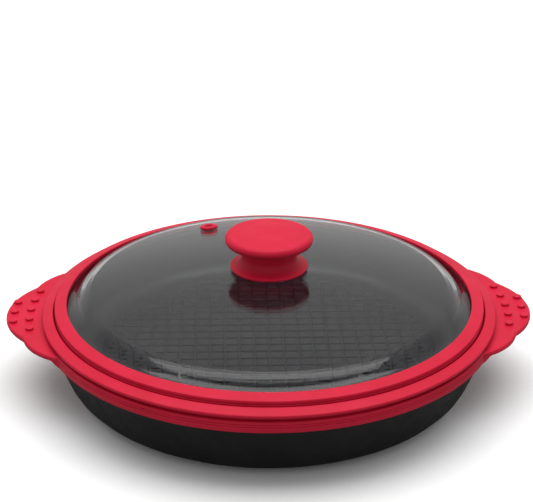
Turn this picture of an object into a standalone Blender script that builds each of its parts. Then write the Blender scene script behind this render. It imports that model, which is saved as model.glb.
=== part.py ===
"""Covered grill pan: a double-walled round pan with silicone rim and handles, and a domed glass lid.

Sizes are in millimetres and are turned into metres where meshes are made. +Z is up, the origin is
the centre of the base's underside, and the two handles lie along X.
"""

from math import acos, asin, atan2, cos, degrees, hypot, pi, radians, sin, sqrt, tan

import bmesh
import bpy

MM = 0.001

# Overall sizes
RIM_RADIUS = 136.0  # outside of the upper silicone ring
RIM_HEIGHT = 48.0  # base to the rim's outer top edge
HANDLE_LENGTH = 22.3  # how far a handle reaches beyond the rim
BASE_INSET = 33.0  # rim's outside to the flat of the base
FLOOR_DEPTH = 29.0  # rim's outer top edge to the pan's floor

# Clearances
GAP = 0.3  # between pieces that touch or seat
LID_PLAY = 0.8  # round the lid, inside the rim
EDGE = 0.5  # softened moulded edges
FINE_EDGE = 0.3
PASS = 1.0  # how far a cutter runs past the faces that it cuts

# Upper silicone ring
RIM_WIDTH = 6.6  # top face
RIM_RISE = 2.4  # inner top edge above the outer one
RIM_SIDE = 1.4  # outer side of the overhang
LEDGE_WIDTH = 3.1  # the lid's seat
LEDGE_DROP = 0.9  # seat below the rim's outer top edge
LEDGE_THICK = 1.3
CHANNEL_LIP = 1.0  # lip under the pan's flange
CHANNEL_LIP_WIDTH = 3.7
CHANNEL_INSET = 2.8  # rim's outside to the channel's outside
CHANNEL_WALL = 0.6

# Inner pan
PAN_WALL = 3.0
FLANGE_THICK = 1.8
MOUTH_INSET = 13.0  # rim's outside to the pan's inner wall at its mouth
MOUTH_ROUND = 2.4
CORNER_RADIUS = 13.0  # between wall and floor
MOAT_OUTSET = 1.5  # moat's bottom outside the flat of the base
MOAT_WIDTH = 3.5
MOAT_DEPTH = 1.2

# Outer shell
SHELL_WALL = 2.6
SHELL_CORNER = 22.2  # outer corner between side and base
SHELL_COLLAR = 3.8  # upright top of the side
EAR_THICK = 1.2
EAR_DROP = 0.4  # ear below the shell's top edge
EAR_COVER = 4.0  # silicone beyond the ear's outline
EAR_SKIN = 0.8  # silicone under the ear

# Lower silicone ring with its handles
BAND_INSET = 0.4  # rim's outside to the band's outside
BAND_DROP = 3.7  # rim's outer top edge to the band's top
BAND_HEIGHT = 6.9
BAND_EDGE = 1.3
HANDLE_DROP = 0.2  # handle's top below the band's
HANDLE_THICK = 3.2
HANDLE_ROUND = 1.2
PAD_INSET = 2.4  # handle's outline to the pad under its ear
TIP_LOBE_RADIUS = 50.9
SIDE_LOBE_RADIUS = 38.2
SIDE_LOBE_SPREAD = 25.0  # across the handle's centre line
SIDE_LOBE_INSET = 28.6  # rim's outside to the lobe's centre
LOBE_BLEND = 1.6
NUB_PITCH = 13.0
NUB_RADIUS = 2.6
NUB_HEIGHT = 1.3
NUB_ROOT = 0.6  # how deep it is sunk in the handle
NUB_STEPS = 10
NUB_ROWS = ((14.3, 5, 2.2), (4.8, 3, -0.7))  # inset from the tip, how many, shift along Y

# Heat layer
HEAT_THICK = 3.5
HEAT_INSET = 5.0  # its edge inside the flat of the base
HEAT_PLAY = 1.0  # round the shell's pillars

# Screws in the base
SCREW_INSET = 33.0  # edge of the base's flat to the screws' circle
SCREW_COUNT = 4
SCREW_ANGLE = 37.0  # degrees from +X to the first one
SCREW_RADIUS = 2.0
SCREW_HEAD_RADIUS = 3.9
SCREW_HEAD_HEIGHT = 1.6
SCREW_CHAMFER = 0.6
RECESS_RADIUS = 4.7
RECESS_DEPTH = 4.2
RECESS_ROOF = 1.8
PILLAR_WALL = 2.0
BOSS_WALL = 2.2
SCREW_END = 1.5  # its tip below the pan's underside
PLUG_THICK = 1.7

# Lid
GLASS_THICK = 4.0
GLASS_INSET = 2.0  # seal's outside to the glass edge
GLASS_FLAT = 7.4  # flat round the glass edge
SHOULDER_WIDTH = 8.5
SHOULDER_RISE = 7.2
DOME_RISE = 20.0  # seal's outer top edge to the crown
SEAL_COVER = 0.1  # seal's outer top edge above the glass's flat
SEAL_WIDTH = 7.3  # top face
SEAL_RISE = 1.9  # inner edge of the top face above the outer one
SEAL_FOOT = 1.2  # under the glass
SEAL_SETBACK = 0.8  # its foot's inner edge outside the top face's
SLOT_CHAMFER = 1.0  # corners of the slot that takes the glass
VENT_INSET = 26.7  # top of the shoulder to the vent's centre
VENT_ANGLE = 116.0  # degrees from +X
VENT_BORE = 2.6
VENT_WALL = 1.7
VENT_LIP = 1.4
VENT_RISE = 2.4
VENT_SLACK = 0.15  # under the glass, which is curved
VENT_FOOT = 1.6
VENT_ROUND = 0.7

# Knob
KNOB_HEIGHT = 22.0
KNOB_RADIUS = 28.0
FOOT_RADIUS = 23.3
NECK_RADIUS = 16.2
WAIST_RISE = 6.6  # narrowest part of the neck above the crown
HEAD_THICK = 6.4
HEAD_CAMBER = 0.6  # middle of the head above its edge
FOOT_EDGE = 0.4
SKIN = 2.2
BOLT_RADIUS = 2.5
BOLT_HEAD_RADIUS = 5.0
BOLT_HEAD_HEIGHT = 2.6
BOLT_CHAMFER = 1.2
BOLT_END = 1.0  # its tip below the insert's top
INSERT_WALL = 1.8
INSERT_LENGTH = 11.0
WASHER_RADIUS = 8.0
WASHER_THICK = 1.0
GASKET_RADIUS = 9.0
GLASS_HOLE = 4.0

BIG_STEPS = 48
KNOB_STEPS = 32
SMALL_STEPS = 16
DOME_RINGS = 4

# Heights and radii that several pieces share
RIM_INSIDE = RIM_RADIUS - RIM_WIDTH
LEDGE_TOP = RIM_HEIGHT - LEDGE_DROP
FLANGE_TOP = LEDGE_TOP - LEDGE_THICK - GAP
FLANGE_UNDER = FLANGE_TOP - FLANGE_THICK
CHANNEL_UNDER = FLANGE_UNDER - GAP - CHANNEL_LIP
CHANNEL_RADIUS = RIM_RADIUS - CHANNEL_INSET
SHELL_TOP = CHANNEL_UNDER - GAP
SHELL_RADIUS = CHANNEL_RADIUS
SHELL_INSIDE = SHELL_RADIUS - SHELL_WALL
EAR_TOP = SHELL_TOP - EAR_DROP
EAR_UNDER = EAR_TOP - EAR_THICK
BAND_TOP = RIM_HEIGHT - BAND_DROP
BAND_RADIUS = RIM_RADIUS - BAND_INSET
BAND_UNDER = BAND_TOP - BAND_HEIGHT
HANDLE_TOP = BAND_TOP - HANDLE_DROP
HANDLE_UNDER = HANDLE_TOP - HANDLE_THICK
PAD_UNDER = EAR_UNDER - GAP - EAR_SKIN
BASE_RADIUS = RIM_RADIUS - BASE_INSET
SCREW_CIRCLE = BASE_RADIUS - SCREW_INSET
HANDLE_TIP = RIM_RADIUS + HANDLE_LENGTH
FLOOR_TOP = RIM_HEIGHT - FLOOR_DEPTH
PAN_UNDER = FLOOR_TOP - PAN_WALL
MOUTH_RADIUS = RIM_RADIUS - MOUTH_INSET
MOAT_RADIUS = BASE_RADIUS + MOAT_OUTSET
MOAT_LEVEL = FLOOR_TOP - MOAT_DEPTH
PILLAR_TOP = RECESS_DEPTH + RECESS_ROOF
PILLAR_RADIUS = RECESS_RADIUS + PILLAR_WALL
BOSS_RADIUS = SCREW_RADIUS + GAP + BOSS_WALL
SEAL_RADIUS = RIM_INSIDE - LID_PLAY
SEAL_UNDER = LEDGE_TOP + GAP
GLASS_RADIUS = SEAL_RADIUS - GLASS_INSET
GLASS_UNDER = SEAL_UNDER + SEAL_FOOT + GAP
GLASS_LEVEL = GLASS_UNDER + GLASS_THICK
LID_PLANE = GLASS_LEVEL + SEAL_COVER
CROWN = LID_PLANE + DOME_RISE
KNOB_WAIST = CROWN + WAIST_RISE
SHOULDER_FOOT = GLASS_RADIUS - GLASS_FLAT
SHOULDER_TOP = SHOULDER_FOOT - SHOULDER_WIDTH
SHOULDER_Z = GLASS_LEVEL + SHOULDER_RISE
VENT_CIRCLE = SHOULDER_TOP - VENT_INSET
KNOB_SEAT = CROWN + GAP
INSERT_BORE = BOLT_RADIUS + GAP
INSERT_RADIUS = INSERT_BORE + INSERT_WALL
DOME_SAG = CROWN - SHOULDER_Z
DOME_RADIUS = (SHOULDER_TOP**2 + DOME_SAG**2) / (2 * DOME_SAG)

RED = (0.62, 0.028, 0.055)


# ---------------------------------------------------------------- helpers


def clear_scene():
    for obj in list(bpy.data.objects):
        bpy.data.objects.remove(obj, do_unlink=True)


def new_collection(name):
    made = bpy.data.collections.new(name)
    bpy.context.scene.collection.children.link(made)
    return made


def material(name, color, roughness, metallic=0.0, transmission=0.0):
    made = bpy.data.materials.new(name)
    made.use_nodes = True
    shader = made.node_tree.nodes["Principled BSDF"]
    shader.inputs["Base Color"].default_value = (*color, 1.0)
    shader.inputs["Roughness"].default_value = roughness
    shader.inputs["Metallic"].default_value = metallic
    shader.inputs["Transmission Weight"].default_value = transmission
    made.diffuse_color = (*color, 1.0)
    return made


def add_mesh(name, mesh, look):
    """An object in the parts collection, or a hidden cutter where look is None."""
    obj = bpy.data.objects.new(name, mesh)
    if look:
        PARTS.objects.link(obj)
        mesh.materials.append(look)
    else:
        CUTTERS.objects.link(obj)
        obj.hide_render = True
        obj.display_type = "WIRE"
    return obj


def arc(center_r, center_z, radius, start, end, count):
    """Points (r, z) along an arc, by angle in degrees from the outward direction."""
    angles = [radians(start + (end - start) * i / count) for i in range(count + 1)]
    return [(center_r + radius * cos(a), center_z + radius * sin(a)) for a in angles]


def turned(name, profile, look, steps=BIG_STEPS, ring=False):
    """A profile of (r, z) points turned about Z: clockwise if it is a ring, else top to bottom."""
    mesh = bpy.data.meshes.new(name)
    points = [(r * MM, 0.0, z * MM) for r, z in profile]
    edges = [(i, i + 1) for i in range(len(points) - 1)]
    if ring:
        edges.append((len(points) - 1, 0))
    mesh.from_pydata(points, edges, [])
    obj = add_mesh(name, mesh, look)
    turn = obj.modifiers.new("Turn", "SCREW")
    turn.axis = "Z"
    turn.steps = steps
    turn.render_steps = steps
    turn.use_merge_vertices = True
    turn.merge_threshold = 0.00001
    turn.use_smooth_shade = True
    return obj


def cylinder(name, radius, bottom, top, look=None, steps=SMALL_STEPS):
    return turned(name, [(0, top), (radius, top), (radius, bottom), (0, bottom)], look, steps)


def shifted(points, distance):
    """Points (r, z) moved square to their line, to its right; one on the axis stays on the axis."""
    made = []
    for index, (r, z) in enumerate(points):
        before_r, before_z = points[max(index - 1, 0)]
        after_r, after_z = points[min(index + 1, len(points) - 1)]
        run, rise = after_r - before_r, after_z - before_z
        if r == 0:
            run, rise = 1.0, 0.0
        length = hypot(run, rise)
        made.append((r + rise / length * distance, z - run / length * distance))
    return made


def boolean(obj, other, operation):
    modifier = obj.modifiers.new(f"{operation.title()} {other.name}", "BOOLEAN")
    modifier.operation = operation
    modifier.object = other
    modifier.solver = "EXACT"


def flat_solid(name, outline, bottom, top, rounding=0.0, look=None):
    """A closed outline of (x, y) points given a thickness, with its edges rounded, as a mesh."""
    curve = bpy.data.curves.new(name, "CURVE")
    curve.dimensions = "2D"
    curve.fill_mode = "BOTH"
    curve.extrude = ((top - bottom) / 2 - rounding) * MM
    curve.bevel_depth = rounding * MM
    curve.bevel_resolution = 2
    curve.offset = -rounding * MM
    spline = curve.splines.new("POLY")
    spline.points.add(len(outline) - 1)
    for point, (x, y) in zip(spline.points, outline):
        point.co = (x * MM, y * MM, 0.0, 1.0)
    spline.use_cyclic_u = True
    guide = bpy.data.objects.new(name + "_curve", curve)
    guide.location.z = (top + bottom) / 2 * MM
    CUTTERS.objects.link(guide)
    bpy.context.view_layer.update()
    graph = bpy.context.evaluated_depsgraph_get()
    mesh = bpy.data.meshes.new_from_object(guide.evaluated_get(graph))
    mesh.transform(guide.matrix_world)
    mesh.name = name
    mesh.materials.clear()
    bpy.data.objects.remove(guide, do_unlink=True)
    form = bmesh.new()
    form.from_mesh(mesh)
    bmesh.ops.remove_doubles(form, verts=form.verts, dist=0.00001)
    bmesh.ops.recalc_face_normals(form, faces=form.faces)
    form.to_mesh(mesh)
    form.free()
    return add_mesh(name, mesh, look)


def screw_spots():
    """Centres (x, y) of the base's screws."""
    turns = [radians(SCREW_ANGLE) + 2 * pi * i / SCREW_COUNT for i in range(SCREW_COUNT)]
    return [(SCREW_CIRCLE * cos(a), SCREW_CIRCLE * sin(a)) for a in turns]


def move(obj, x=0.0, y=0.0, z=0.0):
    obj.location = (x * MM, y * MM, z * MM)
    return obj


# ---------------------------------------------------------------- shared shapes


def circle_reach(angle, center_x, center_y, radius):
    """Distance from the origin to the far side of a circle, along a direction; 0 where it misses."""
    along = center_x * cos(angle) + center_y * sin(angle)
    across = center_y * cos(angle) - center_x * sin(angle)
    if abs(across) >= radius or along <= 0:
        return 0.0
    return along + sqrt(radius**2 - across**2)


def blended(a, b):
    """The larger of two reaches, with the corner where they cross filled by a smooth blend."""
    overlap = max(LOBE_BLEND - abs(a - b), 0.0)
    return max(a, b) + overlap**2 / (4 * LOBE_BLEND)


def scalloped_outline(ring_radius, inset):
    """Outline of a ring with a three-lobed handle at each end of X, set in by a distance."""
    tip = (HANDLE_TIP - TIP_LOBE_RADIUS, 0.0, TIP_LOBE_RADIUS - inset)
    side_x = RIM_RADIUS - SIDE_LOBE_INSET
    side = SIDE_LOBE_RADIUS - inset
    lobes = (tip, (side_x, SIDE_LOBE_SPREAD, side), (side_x, -SIDE_LOBE_SPREAD, side))
    edge = atan2(SIDE_LOBE_SPREAD + side, side_x)
    outline = []
    coarse = 2 * pi / BIG_STEPS
    for step in range(BIG_STEPS):
        angle = coarse * step
        folded = min(abs((angle + pi / 2) % pi - pi / 2), pi / 2)
        parts = 3 if folded < edge + coarse else 1
        for part in range(parts):
            at = angle + coarse * part / parts
            fold_x = abs(cos(at))
            direction = atan2(sin(at), fold_x)
            reach = ring_radius
            for lobe in lobes:
                reach = blended(reach, circle_reach(direction, *lobe))
            outline.append((reach * cos(at), reach * sin(at)))
    return outline


def dome_top(radius):
    """Height of the glass's upper face at a distance from its centre, inside the shoulder."""
    return CROWN - DOME_RADIUS + sqrt(DOME_RADIUS**2 - radius**2)


def tangent_angle(run, rise, corner):
    """Where a straight side leaves a round corner: the angle of that point in degrees.

    The side passes through a point at this run and rise from the corner's centre, or touches a
    circle there, whose radius is then added to the corner's.
    """
    return degrees(atan2(rise, run) - acos(corner / hypot(run, rise)))


def shell_side(radius_in, corner):
    """Where the shell's sloping side meets its bottom corner, in degrees."""
    run = SHELL_RADIUS - radius_in - BASE_RADIUS
    return tangent_angle(run, SHELL_TOP - SHELL_COLLAR - SHELL_CORNER, corner)


# ---------------------------------------------------------------- pan


def make_rim_seal():
    seat = RIM_INSIDE - LEDGE_WIDTH
    overhang = RIM_HEIGHT - RIM_SIDE
    crest = RIM_HEIGHT + RIM_RISE
    lip_end = CHANNEL_RADIUS - CHANNEL_LIP_WIDTH
    lip_top = CHANNEL_UNDER + CHANNEL_LIP
    channel_wall = CHANNEL_RADIUS - CHANNEL_WALL
    profile = [
        (RIM_INSIDE + EDGE, crest),
        (RIM_RADIUS - 2 * EDGE, RIM_HEIGHT + EDGE),
        (RIM_RADIUS, RIM_HEIGHT - FINE_EDGE),
        (RIM_RADIUS, overhang + FINE_EDGE),
        (RIM_RADIUS - FINE_EDGE, overhang),
        (CHANNEL_RADIUS, overhang),
        (CHANNEL_RADIUS, CHANNEL_UNDER),
        (lip_end, CHANNEL_UNDER),
        (lip_end, lip_top),
        (channel_wall, lip_top),
        (channel_wall, FLANGE_TOP + GAP),
        (seat, FLANGE_TOP + GAP),
        (seat, LEDGE_TOP - FINE_EDGE),
        (seat + FINE_EDGE, LEDGE_TOP),
        (RIM_INSIDE, LEDGE_TOP),
        (RIM_INSIDE, crest - EDGE),
    ]
    return turned("rim_seal", profile, material("red_silicone_rim", RED, 0.5), ring=True)


def make_grill_pan():
    flange_radius = CHANNEL_RADIUS - CHANNEL_WALL - GAP
    corner_top = MOAT_LEVEL + CORNER_RADIUS
    under_radius = CORNER_RADIUS + PAN_WALL
    under_top = PAN_UNDER + under_radius
    mouth_r = MOUTH_RADIUS + MOUTH_ROUND
    mouth_z = FLANGE_TOP - MOUTH_ROUND
    lean = tangent_angle(mouth_r - MOAT_RADIUS, mouth_z - corner_top, CORNER_RADIUS + MOUTH_ROUND)
    mouth = arc(mouth_r, mouth_z, MOUTH_ROUND, 180 + lean, 90, 3)
    corner = arc(MOAT_RADIUS, corner_top, CORNER_RADIUS, -90, lean, 5)
    under = arc(MOAT_RADIUS, under_top, under_radius, lean, -90, 4)
    wall_r, wall_z = under[0]
    floor = [
        (0, FLOOR_TOP),
        (MOAT_RADIUS - MOAT_WIDTH, FLOOR_TOP),
        (MOAT_RADIUS - MOAT_WIDTH / 2, MOAT_LEVEL),
    ]
    flange = [
        (flange_radius, FLANGE_TOP),
        (flange_radius, FLANGE_UNDER),
        (wall_r - (FLANGE_UNDER - wall_z) * tan(radians(lean)), FLANGE_UNDER),
    ]
    profile = floor + corner + mouth + flange + under + [(0, PAN_UNDER)]
    body = turned("grill_pan", profile, material("black_nonstick", (0.014, 0.014, 0.018), 0.42, 0.35))
    boss_under = PILLAR_TOP + GAP
    hole_top = PAN_UNDER - SCREW_END + GAP
    for number, (x, y) in enumerate(screw_spots(), 1):
        boss = cylinder(f"pan_boss_{number}", BOSS_RADIUS, boss_under, PAN_UNDER + PAN_WALL / 2)
        boolean(body, move(boss, x, y), "UNION")
        hole = cylinder(f"boss_hole_{number}", SCREW_RADIUS + GAP, boss_under - PASS, hole_top)
        boolean(body, move(hole, x, y), "DIFFERENCE")
    return body


def make_heat_layer():
    top = PAN_UNDER - GAP
    under = top - HEAT_THICK
    look = material("heat_layer_ferrite", (0.06, 0.058, 0.055), 0.8)
    disc = cylinder("heat_layer", BASE_RADIUS - HEAT_INSET, under, top, look, BIG_STEPS)
    for number, (x, y) in enumerate(screw_spots(), 1):
        hole = cylinder(f"heat_hole_{number}", PILLAR_RADIUS + HEAT_PLAY, under - PASS, top + PASS)
        boolean(disc, move(hole, x, y), "DIFFERENCE")
    return disc


def make_outer_shell():
    inner_corner = SHELL_CORNER - SHELL_WALL
    side_z = SHELL_TOP - SHELL_COLLAR
    profile = [(0, SHELL_WALL)]
    profile += arc(BASE_RADIUS, SHELL_CORNER, inner_corner, -90, shell_side(SHELL_WALL, inner_corner), 4)
    profile += [(SHELL_INSIDE, side_z), (SHELL_INSIDE, SHELL_TOP), (SHELL_RADIUS, SHELL_TOP)]
    profile += [(SHELL_RADIUS, side_z)]
    profile += arc(BASE_RADIUS, SHELL_CORNER, SHELL_CORNER, shell_side(0.0, SHELL_CORNER), -90, 5)
    profile += [(0, 0)]
    shell = turned("outer_shell", profile, material("black_satin_shell", (0.012, 0.012, 0.012), 0.38))
    ears = flat_solid("shell_ears", scalloped_outline(SHELL_INSIDE, EAR_COVER), EAR_UNDER, EAR_TOP)
    mid_wall = (SHELL_RADIUS + SHELL_INSIDE) / 2
    hole = cylinder("ear_hole", mid_wall, EAR_UNDER - PASS, EAR_TOP + PASS, steps=BIG_STEPS)
    boolean(ears, hole, "DIFFERENCE")
    boolean(shell, ears, "UNION")
    bore = [
        (0, PILLAR_TOP + PASS),
        (SCREW_RADIUS + GAP, PILLAR_TOP + PASS),
        (SCREW_RADIUS + GAP, RECESS_DEPTH),
        (RECESS_RADIUS, RECESS_DEPTH),
        (RECESS_RADIUS, -PASS),
        (0, -PASS),
    ]
    for number, (x, y) in enumerate(screw_spots(), 1):
        pillar = cylinder(f"pillar_{number}", PILLAR_RADIUS, SHELL_WALL / 2, PILLAR_TOP)
        boolean(shell, move(pillar, x, y), "UNION")
        recess = turned(f"recess_{number}", bore, None, SMALL_STEPS)
        boolean(shell, move(recess, x, y), "DIFFERENCE")
    return shell


def make_nub(name):
    profile = [
        (0, HANDLE_TOP + NUB_HEIGHT),
        (NUB_RADIUS - 2 * EDGE, HANDLE_TOP + NUB_HEIGHT - FINE_EDGE),
        (NUB_RADIUS, HANDLE_TOP - NUB_ROOT),
        (0, HANDLE_TOP - NUB_ROOT - FINE_EDGE),
    ]
    return turned(name, profile, None, NUB_STEPS)


def make_handle_ring():
    """The band round the shell, with both handles and their nubs, hollowed for the shell's ears."""
    inside = SHELL_RADIUS + GAP
    profile = [
        (inside, BAND_TOP),
        (BAND_RADIUS - BAND_EDGE, BAND_TOP),
        (BAND_RADIUS, BAND_TOP - BAND_EDGE),
        (BAND_RADIUS, BAND_UNDER + BAND_EDGE),
        (BAND_RADIUS - BAND_EDGE, BAND_UNDER),
        (inside, BAND_UNDER),
    ]
    ring = turned("handle_ring", profile, material("red_silicone_handles", RED, 0.5), ring=True)
    outline = scalloped_outline(SHELL_INSIDE, 0.0)
    plates = flat_solid("handle_plates", outline, HANDLE_UNDER, HANDLE_TOP, HANDLE_ROUND)
    pads = flat_solid("handle_pads", scalloped_outline(SHELL_INSIDE, PAD_INSET), PAD_UNDER, EAR_TOP)
    mid_band = (inside + BAND_RADIUS) / 2
    bore = cylinder("plate_hole", mid_band, BAND_UNDER, BAND_TOP, steps=BIG_STEPS)
    for layer in (plates, pads):
        boolean(layer, bore, "DIFFERENCE")
        boolean(ring, layer, "UNION")
    for side_name, side in (("left", -1), ("right", 1)):
        for inset, count, shift in NUB_ROWS:
            radius = HANDLE_TIP - inset
            for index in range(count):
                angle = ((index - (count - 1) / 2) * NUB_PITCH + shift) / radius
                nub = make_nub(f"nub_{side_name}_{count}_{index}")
                boolean(ring, move(nub, side * radius * cos(angle), radius * sin(angle)), "UNION")
    pocket_outline = scalloped_outline(SHELL_INSIDE, EAR_COVER - GAP)
    pocket = flat_solid("ear_pocket", pocket_outline, EAR_UNDER - GAP, EAR_TOP + GAP)
    boolean(ring, pocket, "DIFFERENCE")
    return ring


def make_base_screws():
    seat = RECESS_DEPTH - GAP
    head_under = seat - SCREW_HEAD_HEIGHT
    tip = PAN_UNDER - SCREW_END
    steel = material("base_screw_steel", (0.55, 0.55, 0.56), 0.3, 1.0)
    rubber = material("black_silicone_plug", (0.03, 0.03, 0.03), 0.7)
    shape = [
        (0, tip),
        (SCREW_RADIUS - SCREW_CHAMFER, tip),
        (SCREW_RADIUS, tip - SCREW_CHAMFER),
        (SCREW_RADIUS, seat),
        (SCREW_HEAD_RADIUS, seat),
        (SCREW_HEAD_RADIUS, head_under + SCREW_CHAMFER),
        (SCREW_HEAD_RADIUS - SCREW_CHAMFER, head_under),
        (0, head_under),
    ]
    plug = RECESS_RADIUS - GAP
    plug_top = GAP + PLUG_THICK
    cap = [(0, plug_top), (plug, plug_top), (plug, GAP + FINE_EDGE), (plug - FINE_EDGE, GAP), (0, GAP)]
    for number, (x, y) in enumerate(screw_spots(), 1):
        move(turned(f"base_screw_{number}", shape, steel, SMALL_STEPS), x, y)
        move(turned(f"screw_plug_{number}", cap, rubber, SMALL_STEPS), x, y)


# ---------------------------------------------------------------- lid


def glass_upper_face():
    """The glass's upper face from the knob's hole to the flat round its edge, as (r, z) points."""
    mid_r = (SHOULDER_TOP + SHOULDER_FOOT) / 2
    mid_z = (SHOULDER_Z + GLASS_LEVEL) / 2
    bend = SHOULDER_WIDTH / 4
    step = (SHOULDER_TOP - GLASS_HOLE) / DOME_RINGS
    dome = [(GLASS_HOLE + step * i, dome_top(GLASS_HOLE + step * i)) for i in range(DOME_RINGS)]
    return dome + [
        (SHOULDER_TOP - bend, dome_top(SHOULDER_TOP - bend)),
        (SHOULDER_TOP + bend, (SHOULDER_Z + mid_z) / 2 + EDGE / 2),
        (mid_r, mid_z),
        (SHOULDER_FOOT - bend, (GLASS_LEVEL + mid_z) / 2 - EDGE / 2),
        (SHOULDER_FOOT + bend, GLASS_LEVEL),
    ]


def make_lid_glass():
    upper = glass_upper_face()
    edge = GLASS_THICK / 2
    rim = arc(GLASS_RADIUS - edge, GLASS_LEVEL - edge, edge, 90, -90, 4)
    under = shifted(upper, GLASS_THICK)[::-1]
    look = material("clear_glass", (0.9, 0.95, 0.95), 0.02, transmission=1.0)
    glass = turned("lid_glass", upper + rim + under, look, ring=True)
    vent_hole = cylinder("vent_hole", VENT_BORE + VENT_WALL + GAP, -2 * GLASS_THICK, GLASS_THICK)
    boolean(glass, place_on_vent(vent_hole), "DIFFERENCE")
    return glass


def place_on_vent(obj):
    """Sets a piece made about Z onto the glass's upper face at the vent, square to the glass."""
    turn = radians(VENT_ANGLE)
    tilt = asin(VENT_CIRCLE / DOME_RADIUS)
    obj.rotation_euler = (0.0, tilt, turn)
    return move(obj, VENT_CIRCLE * cos(turn), VENT_CIRCLE * sin(turn), dome_top(VENT_CIRCLE))


def make_steam_vent():
    neck = VENT_BORE + VENT_WALL
    lip = neck + VENT_LIP
    foot_lip = lip - VENT_ROUND
    under = -GLASS_THICK - GAP - VENT_SLACK
    profile = [
        (VENT_BORE + VENT_ROUND, VENT_RISE),
        (lip - VENT_ROUND, VENT_RISE),
        (lip, VENT_RISE - VENT_ROUND),
        (lip, GAP + FINE_EDGE),
        (lip - FINE_EDGE, GAP),
        (neck, GAP),
        (neck, under),
        (foot_lip, under),
        (foot_lip, under - VENT_FOOT / 2),
        (foot_lip - VENT_ROUND, under - VENT_FOOT),
        (VENT_BORE, under - VENT_FOOT),
        (VENT_BORE, VENT_RISE - VENT_ROUND),
    ]
    vent = turned("steam_vent", profile, material("red_silicone_vent", RED, 0.45), SMALL_STEPS, ring=True)
    return place_on_vent(vent)


def make_lid_edge_seal():
    inner = SEAL_RADIUS - SEAL_WIDTH
    foot_inner = inner + SEAL_SETBACK
    slot_top = GLASS_LEVEL + GAP
    slot_under = GLASS_UNDER - GAP
    slot_radius = GLASS_RADIUS + GAP
    crest = LID_PLANE + SEAL_RISE
    profile = [
        (inner + EDGE, crest),
        (SEAL_RADIUS - EDGE, LID_PLANE + FINE_EDGE),
        (SEAL_RADIUS, LID_PLANE - EDGE),
        (SEAL_RADIUS, SEAL_UNDER + EDGE),
        (SEAL_RADIUS - EDGE, SEAL_UNDER),
        (foot_inner, SEAL_UNDER),
        (foot_inner, slot_under),
        (slot_radius - SLOT_CHAMFER, slot_under),
        (slot_radius, slot_under + SLOT_CHAMFER),
        (slot_radius, slot_top - SLOT_CHAMFER),
        (slot_radius - SLOT_CHAMFER, slot_top),
        (inner, slot_top),
        (inner, crest - EDGE),
    ]
    return turned("lid_edge_seal", profile, material("red_silicone_lid_edge", RED, 0.5), ring=True)


def flare(reach, rise, start, end, count):
    """Points (r, z) of the knob's neck, which flares from its waist in a quarter of an ellipse."""
    angles = [radians(start + (end - start) * i / count) for i in range(count + 1)]
    return [(NECK_RADIUS + reach * (1 - cos(a)), KNOB_WAIST + rise * sin(a)) for a in angles]


def knob_head():
    """The knob's outer face from its crown over the rounded edge and in to its waist."""
    edge = HEAD_THICK / 2
    edge_r = KNOB_RADIUS - edge
    edge_z = CROWN + KNOB_HEIGHT - HEAD_CAMBER - edge
    top = [(0, CROWN + KNOB_HEIGHT), (edge_r / 2, CROWN + KNOB_HEIGHT - HEAD_CAMBER / 4)]
    neck = flare(edge_r - NECK_RADIUS, edge_z - edge - KNOB_WAIST, 90, 0, 4)
    return top + arc(edge_r, edge_z, edge, 84, -84, 6) + neck[1:]


def make_knob_cover():
    foot_rise = KNOB_SEAT + 2 * FOOT_EDGE - KNOB_WAIST
    foot = flare(FOOT_RADIUS - NECK_RADIUS, foot_rise, 0, 90, 4)[1:]
    foot += [(FOOT_RADIUS, KNOB_SEAT), (FOOT_RADIUS - FOOT_EDGE, dome_top(FOOT_RADIUS) + GAP)]
    inside = [(NECK_RADIUS - SKIN, KNOB_SEAT)] + shifted(knob_head(), SKIN)[::-1]
    profile = knob_head() + foot + inside
    return turned("knob_cover", profile, material("red_silicone_knob", RED, 0.5), KNOB_STEPS)


def make_knob_core():
    bore = INSERT_RADIUS + GAP
    inset = SKIN + GAP
    socket_top = KNOB_SEAT + INSERT_LENGTH + GAP
    outside = shifted(knob_head(), inset) + [(NECK_RADIUS - inset, KNOB_SEAT)]
    profile = outside + [(bore, KNOB_SEAT), (bore, socket_top), (0, socket_top)]
    return turned("knob_core", profile, material("black_phenolic", (0.02, 0.02, 0.02), 0.55), KNOB_STEPS)


def flat_ring(name, inside, outside, bottom, top, look):
    profile = [(inside, top), (outside, top), (outside, bottom), (inside, bottom)]
    return turned(name, profile, look, SMALL_STEPS, ring=True)


def make_knob_fixings():
    """The brass insert, the screw, its washer and the gasket under the glass."""
    brass = material("insert_brass", (0.7, 0.5, 0.2), 0.3, 1.0)
    rubber = material("clear_silicone_gasket", (0.5, 0.5, 0.5), 0.6)
    steel = material("stainless_steel", (0.6, 0.6, 0.61), 0.25, 1.0)
    insert_top = KNOB_SEAT + INSERT_LENGTH
    gasket_top = dome_top(GASKET_RADIUS) - GLASS_THICK - GAP
    gasket_under = gasket_top - WASHER_THICK
    washer_top = gasket_under - GAP
    washer_under = washer_top - WASHER_THICK
    flat_ring("knob_insert", INSERT_BORE, INSERT_RADIUS, KNOB_SEAT, insert_top, brass)
    flat_ring("knob_gasket", INSERT_BORE, GASKET_RADIUS, gasket_under, gasket_top, rubber)
    flat_ring("knob_washer", INSERT_BORE, WASHER_RADIUS, washer_under, washer_top, steel)
    seat = washer_under - GAP
    head_under = seat - BOLT_HEAD_HEIGHT
    tip = insert_top - BOLT_END
    screw = [
        (0, tip),
        (BOLT_RADIUS - SCREW_CHAMFER, tip),
        (BOLT_RADIUS, tip - SCREW_CHAMFER),
        (BOLT_RADIUS, seat),
        (BOLT_HEAD_RADIUS, seat),
        (BOLT_HEAD_RADIUS, head_under + BOLT_CHAMFER),
        (BOLT_HEAD_RADIUS - BOLT_CHAMFER, head_under),
        (0, head_under),
    ]
    turned("knob_screw", screw, steel, SMALL_STEPS)


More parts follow.
